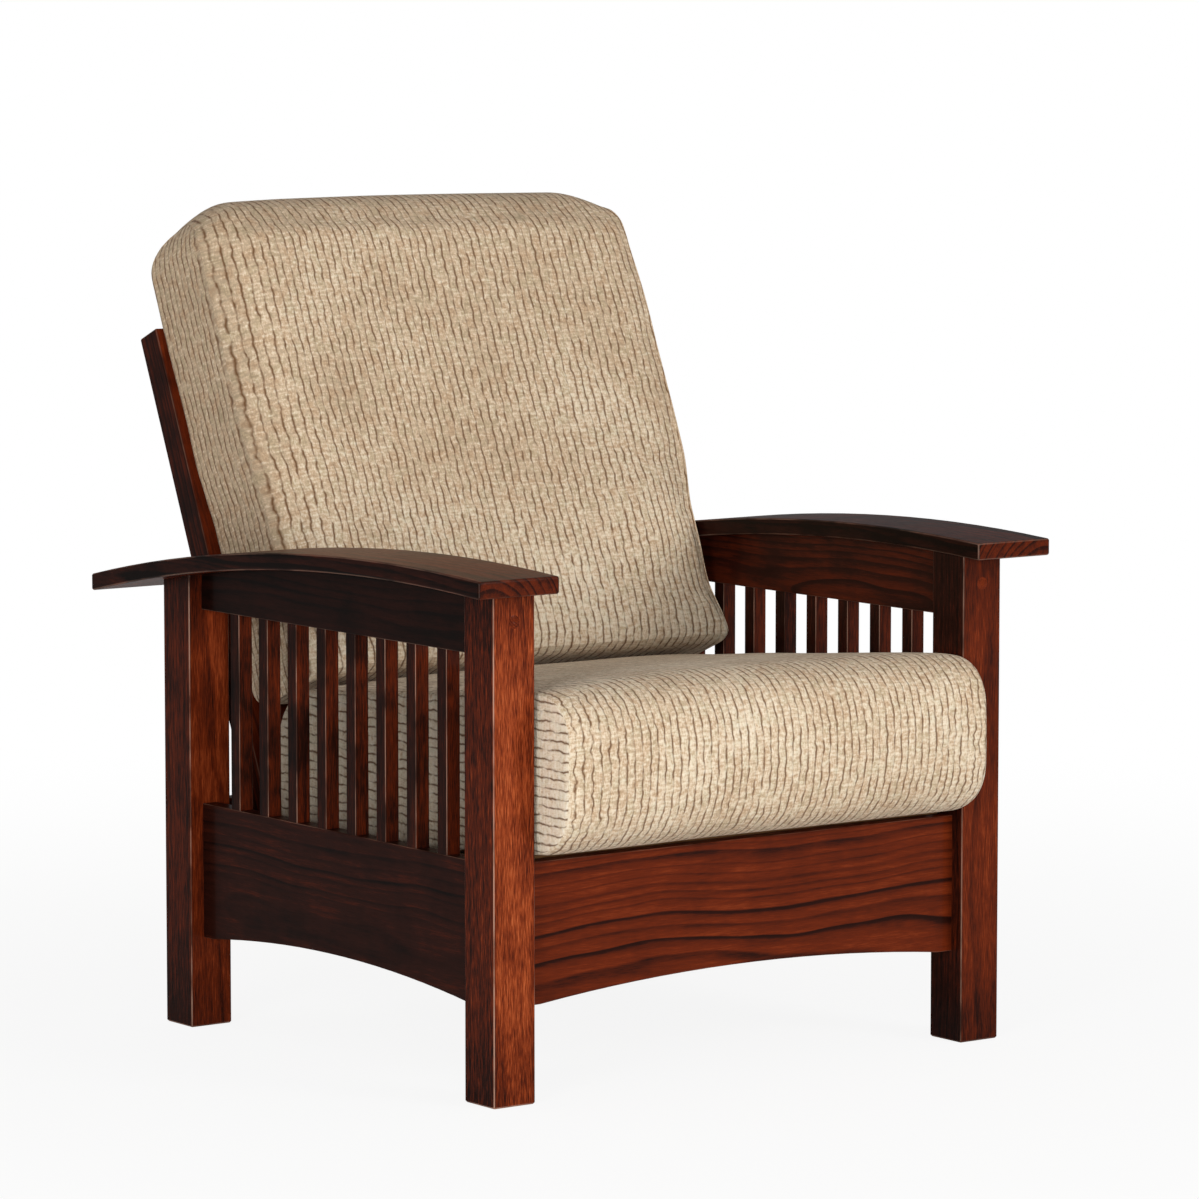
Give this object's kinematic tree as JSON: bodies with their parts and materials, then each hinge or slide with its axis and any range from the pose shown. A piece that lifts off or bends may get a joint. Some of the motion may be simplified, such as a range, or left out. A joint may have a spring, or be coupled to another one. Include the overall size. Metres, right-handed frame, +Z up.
{
  "type": "reclining armchair",
  "caption": "Mission reclining armchair with bowed arms, slatted sides, a hinged back held by pegs, and loose seat and back cushions.",
  "frame": {"origin": "on the floor, under the middle of the chair's whole width and depth", "axes": "+Z up, the chair faces -Y, and +X is to the right as seen from the front"},
  "size_m": [0.823, 0.896, 0.9831],
  "materials": {
    "stained_oak": "satin",
    "frame_wood": "matte",
    "zinc_steel": "satin",
    "jute_webbing": "matte",
    "ribbed_chenille": "matte"
  },
  "bodies": {
    "frame": {"left_front_leg": "stained_oak", "right_front_leg": "stained_oak", "left_rear_leg": "stained_oak", "right_rear_leg": "stained_oak", "left_arm": "stained_oak", "right_arm": "stained_oak", "leg_plugs": "stained_oak", "front_apron": "stained_oak", "rear_apron": "stained_oak", "left_side_apron": "stained_oak", "right_side_apron": "stained_oak", "left_arm_rail": "stained_oak", "right_arm_rail": "stained_oak", "left_slat_1": "stained_oak", "left_slat_2": "stained_oak", "left_slat_3": "stained_oak", "left_slat_4": "stained_oak", "left_slat_5": "stained_oak", "left_slat_6": "stained_oak", "left_slat_7": "stained_oak", "left_slat_8": "stained_oak", "right_slat_1": "stained_oak", "right_slat_2": "stained_oak", "right_slat_3": "stained_oak", "right_slat_4": "stained_oak", "right_slat_5": "stained_oak", "right_slat_6": "stained_oak", "right_slat_7": "stained_oak", "right_slat_8": "stained_oak", "left_cleat": "frame_wood", "right_cleat": "frame_wood", "front_cleat": "frame_wood", "left_pivot_block": "frame_wood", "right_pivot_block": "frame_wood", "corner_blocks": "frame_wood", "seat_frame_front": "frame_wood", "seat_frame_rear": "frame_wood", "seat_frame_left": "frame_wood", "seat_frame_right": "frame_wood", "left_pivot_bolt": "zinc_steel", "right_pivot_bolt": "zinc_steel", "pivot_washers": "zinc_steel", "frame_screws": "zinc_steel", "cross_webbing": "jute_webbing", "long_webbing": "jute_webbing", "seat_cushion": "ribbed_chenille"},
    "back": {"left_stile": "stained_oak", "right_stile": "stained_oak", "crest_rail": "stained_oak", "foot_rail": "stained_oak", "back_slat_1": "stained_oak", "back_slat_2": "stained_oak", "back_slat_3": "stained_oak", "back_slat_4": "stained_oak", "back_slat_5": "stained_oak"},
    "back_cushion": {"back_cushion": "ribbed_chenille"},
    "left_peg": {"left_peg": "stained_oak"},
    "right_peg": {"right_peg": "stained_oak"}
  },
  "joints": [
    {"name": "back_raise", "type": "hinge", "parent": "frame", "child": "back", "pos_m": [0, 0.17697, 0.23], "axis": [1, 0, 0], "range_deg": [0, 10]},
    {"name": "cushion_ride", "type": "slide", "parent": "back", "child": "back_cushion", "axis": [0, 0.3955, 0.9184], "range_m": [0, 0.025]},
    {"name": "left_peg_pull", "type": "slide", "parent": "frame", "child": "left_peg", "axis": [1, 0, 0], "range_m": [0, 0.045]},
    {"name": "right_peg_pull", "type": "slide", "parent": "frame", "child": "right_peg", "axis": [-1, 0, 0], "range_m": [0, 0.045]}
  ],
  "couplings": [
    {"joint": "cushion_ride", "follows": "back_raise", "m_per_rad": 0.1432}
  ]
}
